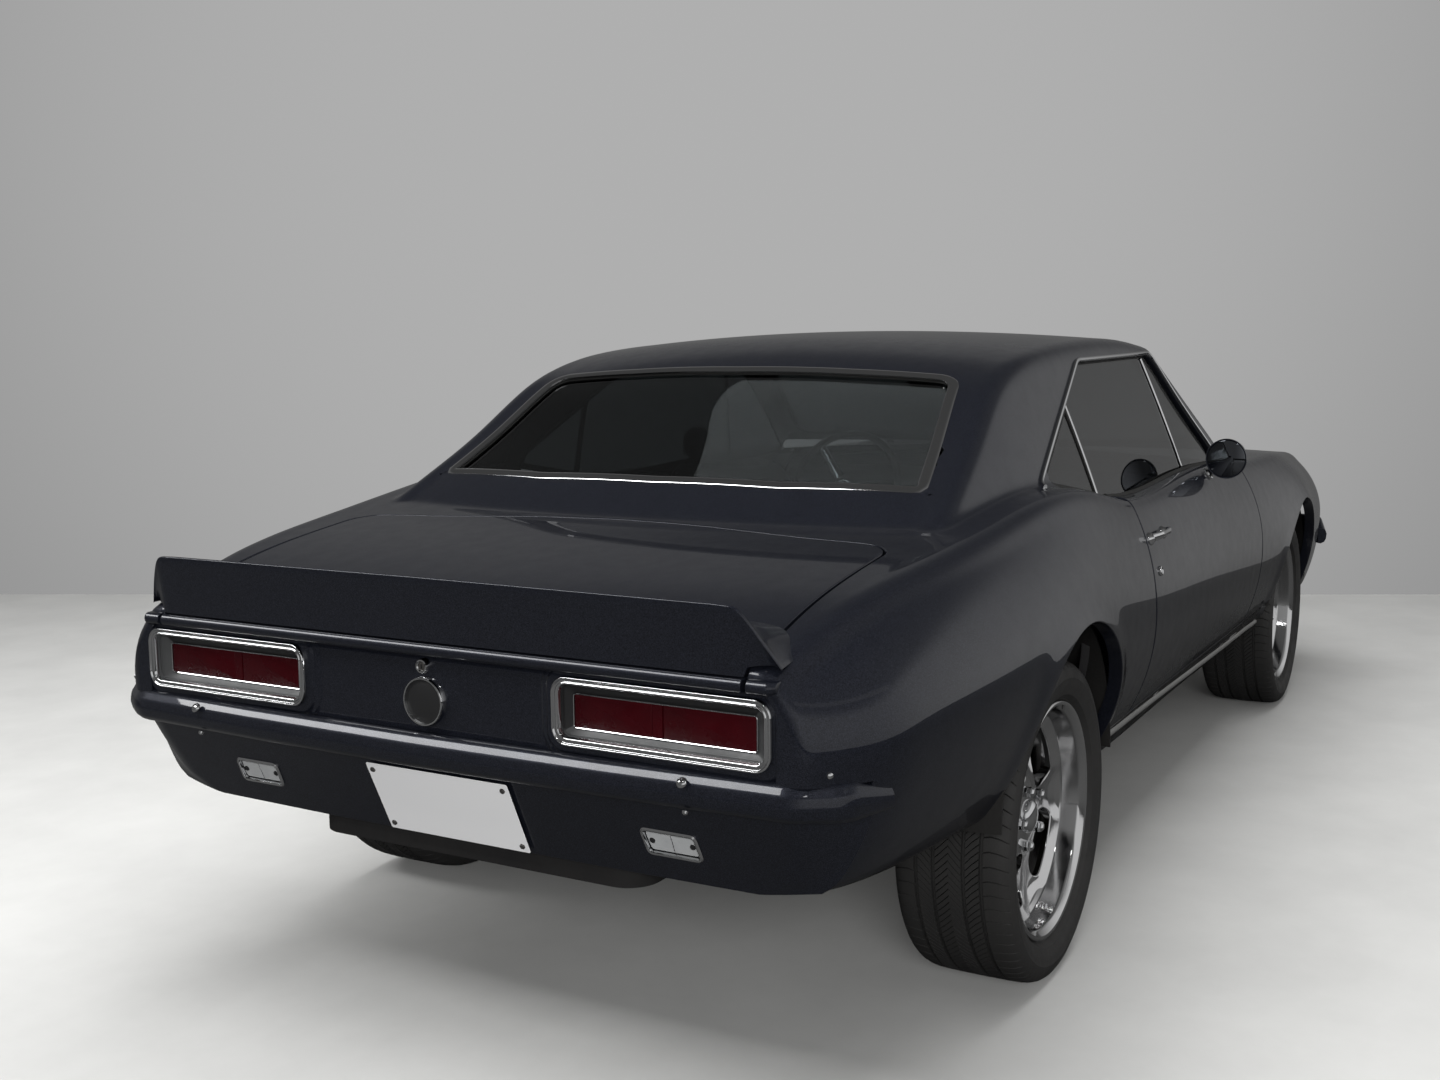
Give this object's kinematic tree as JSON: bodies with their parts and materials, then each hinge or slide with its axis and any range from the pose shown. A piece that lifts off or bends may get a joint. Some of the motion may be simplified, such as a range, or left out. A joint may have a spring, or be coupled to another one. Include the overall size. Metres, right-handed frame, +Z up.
{
  "type": "two-door muscle coupe",
  "caption": "Two-door hardtop muscle coupe with opening doors, hood and deck lid, steering and free-rolling wheels.",
  "frame": {"origin": "on the floor under the middle of the car's length and width", "axes": "+X forward, +Y to the car's left, +Z up"},
  "size_m": [4.6908, 1.87, 1.3463],
  "materials": {
    "paint": "dark metallic clear-coated",
    "black_paint": "satin black",
    "chassis": "semi-gloss black",
    "glass": "lightly tinted",
    "chrome": "polished",
    "polished_rim": "polished",
    "tyre": "moulded rubber",
    "iron": "cast",
    "black_plastic": "grained",
    "red_lens": "clear red",
    "vinyl": "grained black vinyl",
    "steel": "bare"
  },
  "bodies": {
    "shell": {"floor_pan": "chassis", "roof": "paint", "windshield": "glass", "rear_window": "glass", "quarter_glass": "glass", "quarter_panel_left": "paint", "quarter_panel_right": "paint", "deck_filler": "paint", "front_fender_left": "paint", "front_fender_right": "paint", "cowl_panel": "paint", "header_panel": "paint", "grille": "black_plastic", "headlamp_covers": "black_plastic", "front_bumper": "paint", "front_valance": "paint", "tail_panel": "paint", "taillamp_bezels": "paint", "taillamp_lenses": "red_lens", "rear_bumper": "paint", "rear_valance": "paint", "front_subframe": "chassis", "engine": "iron", "rear_axle": "iron", "fuel_tank": "steel", "front_seats": "vinyl", "rear_seat": "vinyl", "dashboard": "black_plastic", "exhaust": "steel"},
    "door_left": {"door_left": "paint", "door_glass_left": "glass", "mirror_left": "paint"},
    "door_right": {"door_right": "paint", "door_glass_right": "glass", "mirror_right": "paint"},
    "hood": {"hood": "paint"},
    "deck_lid": {"deck_lid": "paint", "spoiler": "paint"},
    "steering_wheel": {"steering_wheel": "black_plastic"},
    "knuckle_left": {"knuckle_left": "iron"},
    "knuckle_right": {"knuckle_right": "iron"},
    "wheel_front_left": {"wheel_front_left": "polished_rim", "tyre_front_left": "tyre"},
    "wheel_front_right": {"wheel_front_right": "polished_rim", "tyre_front_right": "tyre"},
    "wheel_rear_left": {"wheel_rear_left": "polished_rim", "tyre_rear_left": "tyre"},
    "wheel_rear_right": {"wheel_rear_right": "polished_rim", "tyre_rear_right": "tyre"}
  },
  "joints": [
    {"name": "door_left_swing", "type": "hinge", "parent": "shell", "child": "door_left", "pos_m": [0.785, 0.872, 0.6], "axis": [0, 0, -1], "range_deg": [0, 65]},
    {"name": "door_right_swing", "type": "hinge", "parent": "shell", "child": "door_right", "pos_m": [0.785, -0.872, 0.6], "axis": [0, 0, 1], "range_deg": [0, 65]},
    {"name": "hood_lift", "type": "hinge", "parent": "shell", "child": "hood", "pos_m": [0.826, 0, 0.958], "axis": [0, -1, 0], "range_deg": [0, 50]},
    {"name": "deck_lid_lift", "type": "hinge", "parent": "shell", "child": "deck_lid", "pos_m": [-1.631, 0, 0.95], "axis": [0, 1, 0], "range_deg": [0, 65]},
    {"name": "steering_wheel_turn", "type": "hinge", "parent": "shell", "child": "steering_wheel", "pos_m": [0.3, 0.37, 0.83], "axis": [-0.9272, 0, 0.3746], "range_deg": [-480, 480]},
    {"name": "steer_left", "type": "hinge", "parent": "shell", "child": "knuckle_left", "pos_m": [1.4135, 0.686, 0.334], "axis": [0, 0, 1], "range_deg": [-32, 32]},
    {"name": "steer_right", "type": "hinge", "parent": "shell", "child": "knuckle_right", "pos_m": [1.4135, -0.686, 0.334], "axis": [0, 0, 1], "range_deg": [-32, 32]},
    {"name": "wheel_front_left_spin", "type": "hinge", "parent": "knuckle_left", "child": "wheel_front_left", "pos_m": [1.4135, 0.749, 0.334], "axis": [0, 1, 0], "continuous": true},
    {"name": "wheel_front_right_spin", "type": "hinge", "parent": "knuckle_right", "child": "wheel_front_right", "pos_m": [1.4135, -0.749, 0.334], "axis": [0, 1, 0], "continuous": true},
    {"name": "wheel_rear_left_spin", "type": "hinge", "parent": "shell", "child": "wheel_rear_left", "pos_m": [-1.3295, 0.749, 0.334], "axis": [0, 1, 0], "continuous": true},
    {"name": "wheel_rear_right_spin", "type": "hinge", "parent": "shell", "child": "wheel_rear_right", "pos_m": [-1.3295, -0.749, 0.334], "axis": [0, 1, 0], "continuous": true}
  ],
  "couplings": [
    {"joint": "steer_left", "follows": "steering_wheel_turn", "ratio": 0.066667},
    {"joint": "steer_right", "follows": "steering_wheel_turn", "ratio": 0.066667}
  ]
}
